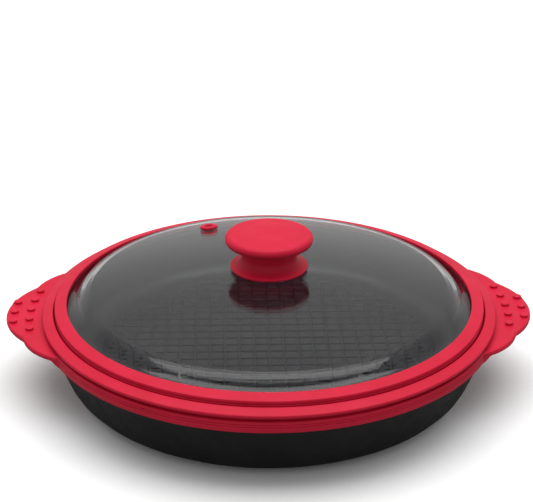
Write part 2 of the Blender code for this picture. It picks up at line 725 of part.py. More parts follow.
def main():
    make_grill_pan()
    make_heat_layer()
    make_outer_shell()
    make_rim_seal()
    make_handle_ring()
    make_base_screws()
    already = set(PARTS.objects)
    make_lid_glass()
    make_lid_edge_seal()
    make_steam_vent()
    make_knob_cover()
    make_knob_core()
    make_knob_fixings()
    lift_axis = bpy.data.objects.new("lid_lift_axis", None)
    lift_axis.location = (0.0, 0.0, LEDGE_TOP * MM)
    PARTS.objects.link(lift_axis)
    bpy.context.view_layer.update()
    for obj in set(PARTS.objects) - already - {lift_axis}:
        obj.parent = lift_axis
        obj.matrix_parent_inverse = lift_axis.matrix_world.inverted()


clear_scene()
PARTS = new_collection("covered_grill_pan")
CUTTERS = new_collection("cutters")
main()
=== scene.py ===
"""Looks of a covered grill pan: silicone rings and handles, non-stick grid pan, satin shell, glass lid.

Sizes are in millimetres, and meshes are made in metres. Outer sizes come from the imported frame.
"""

from math import acos, asin, atan2, ceil, cos, degrees, hypot, pi, radians, sin, sqrt, tan

import bmesh
import bpy
from mathutils import Matrix, Vector


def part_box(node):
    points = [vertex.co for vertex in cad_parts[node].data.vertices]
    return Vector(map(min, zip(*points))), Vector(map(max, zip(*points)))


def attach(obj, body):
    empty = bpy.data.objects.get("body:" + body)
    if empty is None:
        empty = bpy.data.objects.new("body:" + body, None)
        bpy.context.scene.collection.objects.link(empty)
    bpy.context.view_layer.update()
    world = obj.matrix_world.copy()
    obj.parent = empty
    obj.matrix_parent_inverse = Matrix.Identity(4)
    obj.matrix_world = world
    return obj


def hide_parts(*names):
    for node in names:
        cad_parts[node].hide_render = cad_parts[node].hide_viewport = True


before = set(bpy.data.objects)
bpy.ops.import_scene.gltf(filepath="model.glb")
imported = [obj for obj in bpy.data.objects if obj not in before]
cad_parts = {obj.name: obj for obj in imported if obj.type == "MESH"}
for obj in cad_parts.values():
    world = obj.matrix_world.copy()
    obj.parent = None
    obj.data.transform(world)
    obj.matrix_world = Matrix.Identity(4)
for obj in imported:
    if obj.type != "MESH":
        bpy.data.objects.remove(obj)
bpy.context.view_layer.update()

MM = 0.001
GAP = 0.3  # between pieces that touch or seat


def sizes(node):
    """Outer radius, lowest and highest level of a frame node."""
    low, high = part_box(node)
    return high.x / MM, low.z / MM, high.z / MM


# Outer sizes of the frame's pieces: radius, lowest level, highest level
RIM_RADIUS, RIM_UNDER, RIM_CREST = sizes("rim_seal")
FLANGE_RADIUS, BOSS_UNDER, FLANGE_TOP = sizes("grill_pan")
BASE_LEVEL, SHELL_TOP = sizes("outer_shell")[1:]
HANDLE_TIP, BAND_UNDER, NUB_TOP = sizes("handle_ring")
HEAT_RADIUS, HEAT_UNDER, HEAT_TOP = sizes("heat_layer")
SEAL_RADIUS, SEAL_UNDER, SEAL_CREST = sizes("lid_edge_seal")
GLASS_RADIUS, GLASS_UNDER, CROWN = sizes("lid_glass")
KNOB_RADIUS, KNOB_FOOT, KNOB_TOP = sizes("knob_cover")
CORE_FOOT = sizes("knob_core")[1]
INSERT_RADIUS, INSERT_FOOT, INSERT_TOP = sizes("knob_insert")
BOLT_HEAD_RADIUS, BOLT_UNDER, BOLT_TIP = sizes("knob_screw")
WASHER_UNDER = sizes("knob_washer")[1]

# Upper silicone ring
RIM_SLOPE = 2.2  # inner edge of the top face above the outer one
RIM_WIDTH = 6.6
RIM_SIDE = 1.6
LEDGE_WIDTH = 1.4
LEDGE_FLAT = 0.5
LEDGE_RISE = 1.6  # the lid's seat above the pan's flange
CHANNEL_INSET = 2.8
CHANNEL_LIP = 1.0
CHANNEL_LIP_WIDTH = 3.7

# Inner pan
PAN_WALL = 3.0
FLANGE_THICK = 1.8
MOUTH_INSET = 13.0
MOUTH_ROUND = 2.4
CORNER_RADIUS = 13.0
MOAT_RADIUS = 104.5  # outer edge of the moat's flat
MOAT_LEVEL = 17.8
FLOOR_TOP = 19.0
TILE_PITCH = 9.0
TILE_GROOVE = 1.3
TILE_RISE = 1.1
TILE_CHAMFER = 0.35
TILE_FIELD = 100.8
WALL_LEAN = 14.0  # degrees from upright
BOSS_RADIUS = 4.5
BOSS_BORE = 2.3

# Outer shell
SHELL_RADIUS = 133.2
SHELL_WALL = 2.6
SHELL_BASE = 103.0
SHELL_CORNER = 22.2
SHELL_COLLAR = 3.8
EAR_THICK = 1.2
EAR_DROP = 0.4  # ear below the shell's top edge
EAR_COVER = 4.0
BASE_RINGS = (92.0, 52.0)  # fine turned grooves under the base
BASE_RING_DEPTH = 0.35
PILLAR_RADIUS = 6.7
PILLAR_TOP = 6.0
RECESS_RADIUS = 4.7
RECESS_DEPTH = 4.2

# Lower silicone ring
BAND_RADIUS = 135.6
BAND_TOP = 44.3
BAND_GROOVES = (0.1, 0.42)  # shares of its side, from the top
BAND_GROOVE_DEPTH = 0.35
HANDLE_THICK = 3.2
EDGE_ROUND = 1.4
PAD_RISE = 1.5  # pad under the ear, below the handle's edge
PAD_INSET = 2.4
TIP_LOBE = 50.9
SIDE_LOBE = 38.2
SIDE_SPREAD = 25.0
SIDE_INSET = 28.6
LOBE_BLEND = 0.9
BAND_STEPS = 1080
NUB_PITCH = 13.0
NUB_RADIUS = 2.5
NUB_EXTRA = 0.5  # above the frame's plain nubs
NUB_ROWS = ((14.3, 5, 2.2), (4.8, 3, -0.7))  # inset from the tip, how many, shift along Y

# Screws in the base
SCREW_CIRCLE = 70.0
SCREW_COUNT = 4
SCREW_ANGLE = 37.0
SCREW_TIP_RADIUS = 1.4
SCREW_RADIUS = 2.0
SCREW_HEAD_RADIUS = 3.9
SCREW_CROSS = (0.9, 2.3)  # slot's width and length

# Lid
GLASS_THICK = 4.0
GLASS_HOLE = 4.0
SHOULDER_FOOT = 119.2
SHOULDER_TOP = 110.7
SHOULDER_LEVEL = 60.1
DOME_END = 6.0  # inside the shoulder's top
SHOULDER_BEND = 14.0
FOOT_BEND = 9.0
SEAL_WIDTH = 7.3
SEAL_SIDE = 5.6
VENT_BORE = 2.6
VENT_NECK = 4.3
VENT_OUTSIDE = 5.7
VENT_RISE = 2.4

# Knob
HEAD_THICK = 6.4
FOOT_RADIUS = 23.3
NECK_RADIUS = 16.2
WAIST_RISE = 6.6
SKIN = 2.2
BOLT_RADIUS = 2.5
BOLT_CROSS = (1.1, 4.6)  # slot's width and length
INSERT_TEETH = 7
INSERT_TOOTH = 0.35

# Studio: in metres, degrees and watts
STAGE_RADIUS = 1.5
LENS = 101.3  # millimetres, on a sensor of 36
CAMERA_AZIMUTH = -1.53
CAMERA_ELEVATION = 25.8
CAMERA_DISTANCE = 0.9085
RIM_LEVEL = 0.048
AIM_FROM_RIM = (-0.0012, 0.0139, 0.0287)

# Fineness
ROUND_STEPS = 256
KNOB_STEPS = 192
CORE_STEPS = 96
SMALL_STEPS = 64
ARC_STEP = radians(14)
EDGE_LOOP = 0.12  # extra ring of points beside each rounding

LID_PLANE = SEAL_UNDER + SEAL_SIDE
GLASS_FLAT = GLASS_UNDER + GLASS_THICK
DOME_SAG = CROWN - SHOULDER_LEVEL
DOME_RADIUS = (SHOULDER_TOP**2 + DOME_SAG**2) / (2 * DOME_SAG)


# ---------------------------------------------------------------- node trees


def node(tree, kind, inputs=None, **settings):
    """A new node with its settings, and its inputs joined to sockets or given values."""
    made = tree.nodes.new(kind)
    for name, value in settings.items():
        setattr(made, name, value)
    for name, value in (inputs or {}).items():
        if isinstance(value, bpy.types.NodeSocket):
            tree.links.new(value, made.inputs[name])
        else:
            made.inputs[name].default_value = value
    return made


def shape_tree(name, inputs):
    """A geometry tree with a geometry input and these named ones, and its input node's sockets."""
    tree = bpy.data.node_groups.new(name, "GeometryNodeTree")
    tree.interface.new_socket("Geometry", in_out="INPUT", socket_type="NodeSocketGeometry")
    for label, kind in inputs.items():
        tree.interface.new_socket(label, in_out="INPUT", socket_type=f"NodeSocket{kind}")
    tree.interface.new_socket("Material", in_out="INPUT", socket_type="NodeSocketMaterial")
    tree.interface.new_socket("Geometry", in_out="OUTPUT", socket_type="NodeSocketGeometry")
    return tree, tree.nodes.new("NodeGroupInput").outputs


def end_tree(tree, geometry, material):
    """Realizes the copies, smooths them and gives them their material."""
    real = node(tree, "GeometryNodeRealizeInstances", {"Geometry": geometry})
    smooth = node(tree, "GeometryNodeSetShadeSmooth", {"Geometry": real.outputs[0]})
    painted = node(
        tree, "GeometryNodeSetMaterial", {"Geometry": smooth.outputs[0], "Material": material}
    )
    node(tree, "NodeGroupOutput", {0: painted.outputs[0]})
    return tree


def math(tree, operation, a, b=0.0):
    return node(tree, "ShaderNodeMath", {0: a, 1: b}, operation=operation).outputs[0]


def turning_tree():
    """Sweeps a profile drawn in the XZ plane once round Z."""
    tree, given = shape_tree("turning", {"Radius": "Float", "Steps": "Int"})
    circle = node(
        tree, "GeometryNodeCurvePrimitiveCircle",
        {"Resolution": given["Steps"], "Radius": given["Radius"]},
    )
    upright = node(tree, "GeometryNodeSetCurveNormal", {"Curve": circle.outputs[0]}, mode="Z_UP")
    profile = node(tree, "GeometryNodeMeshToCurve", {"Mesh": given["Geometry"]})
    shift = node(
        tree, "ShaderNodeCombineXYZ", {"X": math(tree, "MULTIPLY", given["Radius"], -1.0)}
    )
    laid = node(
        tree, "GeometryNodeTransform",
        {"Geometry": profile.outputs[0], "Translation": shift.outputs[0], "Rotation": (pi / 2, 0, 0)},
    )
    swept = node(
        tree, "GeometryNodeCurveToMesh",
        {"Curve": upright.outputs[0], "Profile Curve": laid.outputs[0]},
    )
    merged = node(
        tree, "GeometryNodeMergeByDistance", {"Geometry": swept.outputs[0], "Distance": 2e-6}
    )
    return end_tree(tree, merged.outputs[0], given["Material"])


def ring_of_copies_tree():
    """Sets copies of the given piece at even steps round a circle."""
    tree, given = shape_tree(
        "ring_of_copies", {"Count": "Int", "Circle": "Float", "First Angle": "Float"}
    )
    points = node(tree, "GeometryNodePoints", {"Count": given["Count"]})
    step = math(tree, "DIVIDE", 2 * pi, given["Count"])
    index = node(tree, "GeometryNodeInputIndex").outputs[0]
    angle = math(tree, "ADD", given["First Angle"], math(tree, "MULTIPLY", index, step))
    x = math(tree, "MULTIPLY", given["Circle"], math(tree, "COSINE", angle))
    y = math(tree, "MULTIPLY", given["Circle"], math(tree, "SINE", angle))
    place = node(tree, "ShaderNodeCombineXYZ", {"X": x, "Y": y})
    placed = node(
        tree, "GeometryNodeSetPosition", {"Geometry": points.outputs[0], "Position": place.outputs[0]}
    )
    copies = node(
        tree, "GeometryNodeInstanceOnPoints",
        {"Points": placed.outputs[0], "Instance": given["Geometry"]},
    )
    return end_tree(tree, copies.outputs[0], given["Material"])


def tile_sheet(tree, given):
    """Flat squares on a grid, as far as the field reaches."""
    across = math(tree, "MULTIPLY", 2.0, math(tree, "CEIL", math(
        tree, "DIVIDE", given["Field Radius"], given["Pitch"])))
    side = math(tree, "MULTIPLY", across, given["Pitch"])
    lines = math(tree, "ADD", across, 1.0)
    grid = node(
        tree, "GeometryNodeMeshGrid",
        {"Size X": side, "Size Y": side, "Vertices X": lines, "Vertices Y": lines},
    )
    low = node(
        tree, "ShaderNodeCombineXYZ",
        {"Z": math(tree, "SUBTRACT", given["Level"], math(tree, "ADD", given["Rise"], given["Sunk"]))},
    )
    placed = node(
        tree, "GeometryNodeTransform", {"Geometry": grid.outputs[0], "Translation": low.outputs[0]}
    )
    position = node(tree, "GeometryNodeInputPosition").outputs[0]
    flat = node(tree, "ShaderNodeVectorMath", {0: position, 1: (1.0, 1.0, 0.0)}, operation="MULTIPLY")
    away = node(tree, "ShaderNodeVectorMath", {0: flat.outputs[0]}, operation="LENGTH").outputs["Value"]
    reach = math(tree, "ADD", given["Field Radius"], math(tree, "MULTIPLY", given["Pitch"], 0.3))
    outside = math(tree, "GREATER_THAN", away, reach)
    kept = node(
        tree, "GeometryNodeDeleteGeometry", {"Geometry": placed.outputs[0], "Selection": outside},
        domain="FACE",
    )
    split = node(tree, "GeometryNodeSplitEdges", {"Mesh": kept.outputs[0]})
    share = math(tree, "SUBTRACT", 1.0, math(tree, "DIVIDE", given["Groove"], given["Pitch"]))
    tile = node(tree, "GeometryNodeScaleElements", {"Geometry": split.outputs[0], "Scale": share})
    return tile.outputs[0]


def tile_blocks(tree, given, tile):
    """Closed blocks with bevelled tops on the squares."""
    upright = math(tree, "SUBTRACT", math(tree, "ADD", given["Rise"], given["Sunk"]), given["Chamfer"])
    up = (0.0, 0.0, 1.0)
    block = node(
        tree, "GeometryNodeExtrudeMesh",
        {"Mesh": tile, "Offset": up, "Offset Scale": upright, "Individual": True},
    )
    top = node(
        tree, "GeometryNodeExtrudeMesh",
        {"Mesh": block.outputs["Mesh"], "Selection": block.outputs["Top"], "Offset": up,
         "Offset Scale": given["Chamfer"], "Individual": True},
    )
    width = math(tree, "SUBTRACT", given["Pitch"], given["Groove"])
    inset = math(tree, "DIVIDE", math(tree, "MULTIPLY", given["Chamfer"], 2.0), width)
    bevelled = node(
        tree, "GeometryNodeScaleElements",
        {"Geometry": top.outputs["Mesh"], "Selection": top.outputs["Top"],
         "Scale": math(tree, "SUBTRACT", 1.0, inset)},
    )
    under = node(tree, "GeometryNodeFlipFaces", {"Mesh": tile})
    blocks = node(tree, "GeometryNodeJoinGeometry")
    tree.links.new(bevelled.outputs[0], blocks.inputs[0])
    tree.links.new(under.outputs[0], blocks.inputs[0])
    closed = node(
        tree, "GeometryNodeMergeByDistance", {"Geometry": blocks.outputs[0], "Distance": 2e-6}
    )
    return closed.outputs[0]


def floor_tiles_tree():
    """Square tiles with bevelled tops on a round field, each one a closed block."""
    tree, given = shape_tree(
        "floor_tiles",
        {"Pitch": "Float", "Groove": "Float", "Rise": "Float", "Chamfer": "Float",
         "Field Radius": "Float", "Level": "Float", "Sunk": "Float"},
    )
    blocks = tile_blocks(tree, given, tile_sheet(tree, given))
    drum = node(
        tree, "GeometryNodeMeshCylinder",
        {"Vertices": 192, "Radius": given["Field Radius"], "Depth": 0.1},
    )
    cut = node(tree, "GeometryNodeMeshBoolean", operation="INTERSECT", solver="EXACT")
    tree.links.new(blocks, cut.inputs["Mesh 2"])
    tree.links.new(drum.outputs["Mesh"], cut.inputs["Mesh 2"])
    return end_tree(tree, cut.outputs["Mesh"], given["Material"])


def grip_nubs_tree():
    """Rows of the given nub along arcs about Z, on both handles."""
    tree, given = shape_tree(
        "grip_nubs",
        {"Pitch": "Float", "Level": "Float",
         "Long Row Radius": "Float", "Long Row Count": "Int", "Long Row Shift": "Float",
         "Short Row Radius": "Float", "Short Row Count": "Int", "Short Row Shift": "Float"},
    )
    both = node(tree, "GeometryNodeJoinGeometry")
    for row in ("Long Row", "Short Row"):
        count = given[f"{row} Count"]
        radius = given[f"{row} Radius"]
        points = node(tree, "GeometryNodePoints", {"Count": count})
        index = node(tree, "GeometryNodeInputIndex").outputs[0]
        middle = math(tree, "DIVIDE", math(tree, "SUBTRACT", count, 1.0), 2.0)
        steps = math(tree, "MULTIPLY", math(tree, "SUBTRACT", index, middle), given["Pitch"])
        along = math(tree, "ADD", steps, given[f"{row} Shift"])
        angle = math(tree, "DIVIDE", along, radius)
        place = node(
            tree, "ShaderNodeCombineXYZ",
            {"X": math(tree, "MULTIPLY", radius, math(tree, "COSINE", angle)),
             "Y": math(tree, "MULTIPLY", radius, math(tree, "SINE", angle)),
             "Z": given["Level"]},
        )
        placed = node(
            tree, "GeometryNodeSetPosition",
            {"Geometry": points.outputs[0], "Position": place.outputs[0]},
        )
        nubs = node(
            tree, "GeometryNodeInstanceOnPoints",
            {"Points": placed.outputs[0], "Instance": given["Geometry"]},
        )
        real = node(tree, "GeometryNodeRealizeInstances", {"Geometry": nubs.outputs[0]})
        mirrored = node(
            tree, "GeometryNodeTransform", {"Geometry": real.outputs[0], "Scale": (-1, 1, 1)}
        )
        tree.links.new(real.outputs[0], both.inputs[0])
        tree.links.new(mirrored.outputs[0], both.inputs[0])
    return end_tree(tree, both.outputs[0], given["Material"])


# ---------------------------------------------------------------- mesh helpers


def new_object(name, mesh):
    made = bpy.data.objects.new(name, mesh)
    bpy.context.scene.collection.objects.link(made)
    return made


def evaluated_mesh(obj):
    """The mesh that an object's modifiers make, cleaned and facing outwards; the object is removed."""
    bpy.context.view_layer.update()
    graph = bpy.context.evaluated_depsgraph_get()
    mesh = bpy.data.meshes.new_from_object(obj.evaluated_get(graph))
    mesh.name = obj.name
    bpy.data.objects.remove(obj, do_unlink=True)
    tidy_faces(mesh)
    return mesh


def tidy_faces(mesh):
    form = bmesh.new()
    form.from_mesh(mesh)
    bmesh.ops.remove_doubles(form, verts=form.verts, dist=2e-6)
    bmesh.ops.dissolve_degenerate(form, edges=form.edges, dist=1e-6)
    bmesh.ops.recalc_face_normals(form, faces=form.faces)
    form.to_mesh(mesh)
    form.free()
    mesh.shade_smooth()


def grown(name, tree, values, base=None):
    """The mesh that a shape tree makes from a base mesh and the values of its named inputs."""
    obj = new_object(name, base or bpy.data.meshes.new(name))
    modifier = obj.modifiers.new("Shape", "NODES")
    modifier.node_group = tree
    for item in tree.interface.items_tree:
        if item.in_out == "INPUT" and item.name in values:
            modifier[item.identifier] = values[item.name]
    return evaluated_mesh(obj)


def rounded(corners):
    """Points (r, z) along corners of (r, z, rounding), each corner turned into an arc of that radius."""
    points = []
    for index, (r, z, rounding) in enumerate(corners):
        here = Vector((r, z))
        if rounding == 0:
            points.append(here)
            continue
        before = (Vector(corners[index - 1][:2]) - here).normalized()
        after = (Vector(corners[(index + 1) % len(corners)][:2]) - here).normalized()
        half = before.angle(after) / 2
        setback = rounding / tan(half)
        centre = here + (before + after).normalized() * rounding / sin(half)
        start = here + before * setback
        end = here + after * setback
        steps = max(2, ceil((pi - 2 * half) / ARC_STEP))
        points.append(start + before * EDGE_LOOP)
        for step in range(steps + 1):
            way = (start - centre).lerp(end - centre, step / steps).normalized()
            points.append(centre + way * rounding)
        points.append(end + after * EDGE_LOOP)
    return [(point.x, point.y) for point in points]


def arc(centre_r, centre_z, radius, start, end):
    """Points (r, z) along an arc, by angle in degrees from the outward direction."""
    steps = max(2, ceil(abs(radians(end - start)) / ARC_STEP))
    angles = [radians(start + (end - start) * i / steps) for i in range(steps + 1)]
    return [(centre_r + radius * cos(a), centre_z + radius * sin(a)) for a in angles]


def turned(name, profile, look, steps=ROUND_STEPS, closed=False):
    """A mesh turned from a profile of (r, z) points, which is a ring's section where it is closed."""
    line = bpy.data.meshes.new(name)
    edges = [(i, i + 1) for i in range(len(profile) - 1)]
    if closed:
        edges.append((len(profile) - 1, 0))
    line.from_pydata([(r * MM, 0.0, z * MM) for r, z in profile], edges, [])
    radius = max(r for r, z in profile) * MM
    return grown(name, TURNING, {"Radius": radius, "Steps": steps, "Material": look}, line)


def ring_section(name, corners, look, steps=ROUND_STEPS):
    return turned(name, rounded(corners), look, steps, closed=True)


def joined(name, meshes, look):
    """Several closed meshes as one."""
    form = bmesh.new()
    for mesh in meshes:
        form.from_mesh(mesh)
    made = bpy.data.meshes.new(name)
    form.to_mesh(made)
    form.free()
    made.materials.clear()
    made.materials.append(look)
    made.shade_smooth()
    return made


def cut(mesh, cutters, look, operation="DIFFERENCE"):
    """A mesh with others cut out of it, or joined to it."""
    body = new_object(mesh.name, mesh)
    tools = [new_object(f"{mesh.name}_tool", cutter) for cutter in cutters]
    for tool in tools:
        step = body.modifiers.new("Cut", "BOOLEAN")
        step.object = tool
        step.operation = operation
        step.solver = "EXACT"
    made = evaluated_mesh(body)
    for tool in tools:
        bpy.data.objects.remove(tool, do_unlink=True)
    made.materials.clear()
    made.materials.append(look)
    return made


def piece(name, mesh, body, slot, *nodes, sharp=40.0):
    """A finished piece that rides on a body and stands for these frame nodes."""
    mesh.set_sharp_from_angle(angle=radians(sharp))
    obj = new_object(name, mesh)
    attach(obj, body)
    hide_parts(*nodes)
    return obj


# ---------------------------------------------------------------- materials


def finish_material(name, color, roughness, **shader_values):
    """A material with its tree, its shader and Object coordinates."""
    made = bpy.data.materials.new(name)
    made.use_nodes = True
    made.diffuse_color = (*color, 1.0)
    tree = made.node_tree
    shader = tree.nodes["Principled BSDF"]
    shader.inputs["Base Color"].default_value = (*color, 1.0)
    shader.inputs["Roughness"].default_value = roughness
    for label, value in shader_values.items():
        shader.inputs[label.replace("_", " ")].default_value = value
    place = node(tree, "ShaderNodeTexCoord").outputs["Object"]
    return made, tree, shader, place


def noise(tree, place, scale, detail=3.0, roughness=0.5):
    values = {"Vector": place, "Scale": scale, "Detail": detail, "Roughness": roughness}
    return node(tree, "ShaderNodeTexNoise", values).outputs["Fac"]


def spread(tree, value, low, high, from_low=0.3, from_high=0.7):
    values = {"Value": value, "From Min": from_low, "From Max": from_high, "To Min": low, "To Max": high}
    return node(tree, "ShaderNodeMapRange", values).outputs["Result"]


def two_tone(tree, value, first, second):
    made = node(tree, "ShaderNodeMix", {0: value}, data_type="RGBA")
    made.inputs[6].default_value = (*first, 1.0)
    made.inputs[7].default_value = (*second, 1.0)
    return made.outputs[2]


def bump(tree, shader, height, depth, strength=1.0, under=None):
    """Relief of a depth in millimetres."""
    values = {"Height": height, "Distance": depth * MM, "Strength": strength}
    if under is not None:
        values["Normal"] = under
    made = node(tree, "ShaderNodeBump", values)
    tree.links.new(made.outputs["Normal"], shader.inputs["Normal"])
    return made.outputs["Normal"]


def red_silicone():
    """Moulded red silicone: satin, faintly mottled, with a fine stippled skin."""
    made, tree, shader, place = finish_material(
        "red_silicone", (0.59, 0.007, 0.036), 0.46, Specular_IOR_Level=0.25
    )
    clouds = noise(tree, place, 38.0, 4.0)
    color = two_tone(tree, spread(tree, clouds, 0.0, 1.0), (0.56, 0.006, 0.032), (0.63, 0.009, 0.043))
    tree.links.new(color, shader.inputs["Base Color"])
    tree.links.new(spread(tree, noise(tree, place, 90.0), 0.42, 0.52), shader.inputs["Roughness"])
    stipple = noise(tree, place, 1700.0, 2.0, 0.6)
    waves = noise(tree, place, 120.0, 2.0)
    skin = bump(tree, shader, stipple, 0.05, 0.55)
    bump(tree, shader, waves, 0.12, 0.5, skin)
    return made


def nonstick():
    """Sprayed black non-stick coating: satin, with a faint orange-peel skin and mineral flecks."""
    black = (0.003, 0.003, 0.0055)
    mineral = (0.016, 0.016, 0.02)
    made, tree, shader, place = finish_material(
        "nonstick_coating", black, 0.34, Specular_IOR_Level=0.5
    )
    flecks = node(tree, "ShaderNodeTexVoronoi", {"Vector": place, "Scale": 900.0, "Randomness": 1.0})
    fleck = spread(tree, flecks.outputs["Distance"], 1.0, 0.0, 0.05, 0.16)
    color = two_tone(tree, math(tree, "MULTIPLY", fleck, 0.35), black, mineral)
    tree.links.new(color, shader.inputs["Base Color"])
    tree.links.new(spread(tree, noise(tree, place, 60.0, 4.0), 0.3, 0.4), shader.inputs["Roughness"])
    peel = noise(tree, place, 1100.0, 2.0)
    drift = noise(tree, place, 70.0, 3.0)
    skin = bump(tree, shader, peel, 0.04, 0.6)
    bump(tree, shader, drift, 0.15, 0.4, skin)
    return made


def satin_shell():
    """Black heat-resistant moulding with a fine spark-eroded grain."""
    made, tree, shader, place = finish_material(
        "satin_black_shell", (0.006, 0.006, 0.006), 0.48, Specular_IOR_Level=0.25
    )
    clouds = noise(tree, place, 45.0, 4.0)
    color = two_tone(tree, spread(tree, clouds, 0.0, 1.0), (0.009, 0.009, 0.009), (0.014, 0.014, 0.0137))
    tree.links.new(color, shader.inputs["Base Color"])
    tree.links.new(spread(tree, noise(tree, place, 150.0), 0.44, 0.56), shader.inputs["Roughness"])
    bump(tree, shader, noise(tree, place, 2200.0, 2.0, 0.6), 0.04, 0.6)
    return made


def clear_glass():
    """Clear tempered glass with a faint green cast, which lets the lamps' light straight through."""
    made, tree, shader, place = finish_material(
        "clear_glass", (0.985, 0.995, 0.99), 0.0, Transmission_Weight=1.0, IOR=1.5
    )
    smears = spread(tree, noise(tree, place, 22.0, 4.0), 0.0, 0.035, 0.45, 0.75)
    tree.links.new(smears, shader.inputs["Roughness"])
    bump(tree, shader, noise(tree, place, 12.0, 1.0), 0.05, 0.15)
    rays = node(tree, "ShaderNodeLightPath")
    through = node(tree, "ShaderNodeBsdfTransparent", {"Color": (0.95, 0.97, 0.96, 1.0)})
    mixed = node(
        tree, "ShaderNodeMixShader",
        {0: rays.outputs["Is Shadow Ray"], 1: shader.outputs[0], 2: through.outputs[0]},
    )
    tree.links.new(mixed.outputs[0], tree.nodes["Material Output"].inputs["Surface"])
    return made


def turned_metal(name, light, dark, roughness):
    """Lathe-turned metal: fine rings round Z, slightly uneven in tone."""
    made, tree, shader, place = finish_material(name, light, roughness, Metallic=1.0)
    split = node(tree, "ShaderNodeSeparateXYZ", {0: place})
    wide = node(tree, "ShaderNodeVectorMath", {0: place, 1: (1, 1, 0)}, operation="MULTIPLY")
    away = node(tree, "ShaderNodeVectorMath", {0: wide.outputs[0]}, operation="LENGTH")
    stretched = node(
        tree, "ShaderNodeCombineXYZ", {"X": away.outputs["Value"], "Z": split.outputs["Z"]}
    ).outputs[0]
    rings = noise(tree, stretched, 5200.0, 3.0)
    tone = spread(tree, noise(tree, place, 260.0), 0.0, 1.0)
    tree.links.new(two_tone(tree, tone, dark, light), shader.inputs["Base Color"])
    tree.links.new(spread(tree, rings, roughness - 0.07, roughness + 0.1), shader.inputs["Roughness"])
    bump(tree, shader, rings, 0.02, 0.5)
    return made


def grained(name, dark, light, roughness, grain, depth, fleck_share=1.0):
    """A dull filled material: grains of two tones, with a slight relief."""
    made, tree, shader, place = finish_material(name, dark, roughness)
    grains = noise(tree, place, grain, 3.0, 0.65)
    tone = math(tree, "MULTIPLY", spread(tree, grains, 0.0, 1.0, 0.4, 0.65), fleck_share)
    tree.links.new(two_tone(tree, tone, dark, light), shader.inputs["Base Color"])
    rough = spread(tree, noise(tree, place, grain / 6), roughness - 0.06, roughness + 0.08)
    tree.links.new(rough, shader.inputs["Roughness"])
    bump(tree, shader, grains, depth, 0.6)
    return made


# ---------------------------------------------------------------- pan


def make_rim_seal(look):
    inside = RIM_RADIUS - RIM_WIDTH
    seat = inside - LEDGE_WIDTH
    channel = RIM_RADIUS - CHANNEL_INSET
    crest = RIM_CREST + 0.1
    edge = RIM_CREST - RIM_SLOPE
    under = edge - RIM_SIDE
    ledge = FLANGE_TOP + LEDGE_RISE
    lip_top = RIM_UNDER + CHANNEL_LIP
    corners = [
        (inside, crest, 0.7),
        (RIM_RADIUS, edge, 0.9),
        (RIM_RADIUS, under, 0.4),
        (channel, under, 0.3),
        (channel, RIM_UNDER, 0.3),
        (channel - CHANNEL_LIP_WIDTH, RIM_UNDER, 0.3),
        (channel - CHANNEL_LIP_WIDTH, lip_top, 0.2),
        (channel - 0.6, lip_top, 0.15),
        (channel - 0.6, FLANGE_TOP + GAP, 0.15),
        (seat, FLANGE_TOP + GAP, 0.1),
        (inside - LEDGE_FLAT, ledge, 0.3),
        (inside, ledge, 0.35),
    ]
    mesh = ring_section("rim_seal", corners, look)
    return piece("upper_silicone_ring", mesh, "pan", "red_silicone", "rim_seal")


def pan_profile():
    mouth_r = RIM_RADIUS - MOUTH_INSET + MOUTH_ROUND
    groove_floor = FLOOR_TOP - TILE_RISE
    under = FLOOR_TOP - PAN_WALL
    corner_top = MOAT_LEVEL + CORNER_RADIUS
    outer_top = under + CORNER_RADIUS + PAN_WALL
    floor = [(0, groove_floor)]
    floor += rounded([(0, groove_floor, 0), (TILE_FIELD + 0.4, groove_floor, 0.3),
                      (TILE_FIELD + 0.9, MOAT_LEVEL - 0.25, 0.3), (MOAT_RADIUS, MOAT_LEVEL, 0)])[1:-1]
    corner = arc(MOAT_RADIUS, corner_top, CORNER_RADIUS, -90, -WALL_LEAN)
    mouth = arc(mouth_r, FLANGE_TOP - MOUTH_ROUND, MOUTH_ROUND, 180 - WALL_LEAN + 2, 90)
    flange = rounded([
        (mouth_r, FLANGE_TOP, 0),
        (FLANGE_RADIUS, FLANGE_TOP, 0.4),
        (FLANGE_RADIUS, FLANGE_TOP - FLANGE_THICK, 0.4),
        (mouth_r + 1.8, FLANGE_TOP - FLANGE_THICK, 0.9),
        (mouth_r + 0.2, FLANGE_TOP - FLANGE_THICK - 3.0, 0),
    ])[1:]
    outside = arc(MOAT_RADIUS, outer_top, CORNER_RADIUS + PAN_WALL, -WALL_LEAN, -90)
    return floor + corner + mouth + flange + outside + [(0, under)]


def make_grill_pan(look):
    """The cast pan, its bosses and the grid of tiles on its floor."""
    under = FLOOR_TOP - PAN_WALL
    pan = turned("pan_body", pan_profile(), look)
    tiles = grown("floor_tiles", FLOOR_TILES, {
        "Pitch": TILE_PITCH * MM, "Groove": TILE_GROOVE * MM, "Rise": TILE_RISE * MM,
        "Chamfer": TILE_CHAMFER * MM, "Field Radius": TILE_FIELD * MM, "Level": FLOOR_TOP * MM,
        "Sunk": 0.4 * MM, "Material": look,
    })
    section = [
        (BOSS_RADIUS, under + 0.6, 0),
        (BOSS_RADIUS, BOSS_UNDER, 0.4),
        (BOSS_BORE, BOSS_UNDER, 0.3),
        (BOSS_BORE, under - 1.0, 0),
        (0, under - 1.0, 0),
    ]
    boss = turned("boss", [(0, under + 0.6)] + rounded(section), look, SMALL_STEPS)
    bosses = copies_on_screw_circle("bosses", boss, look)
    mesh = joined("grill_pan", [pan, tiles, bosses], look)
    return piece("nonstick_grill_pan", mesh, "pan", "nonstick", "grill_pan", sharp=30.0)


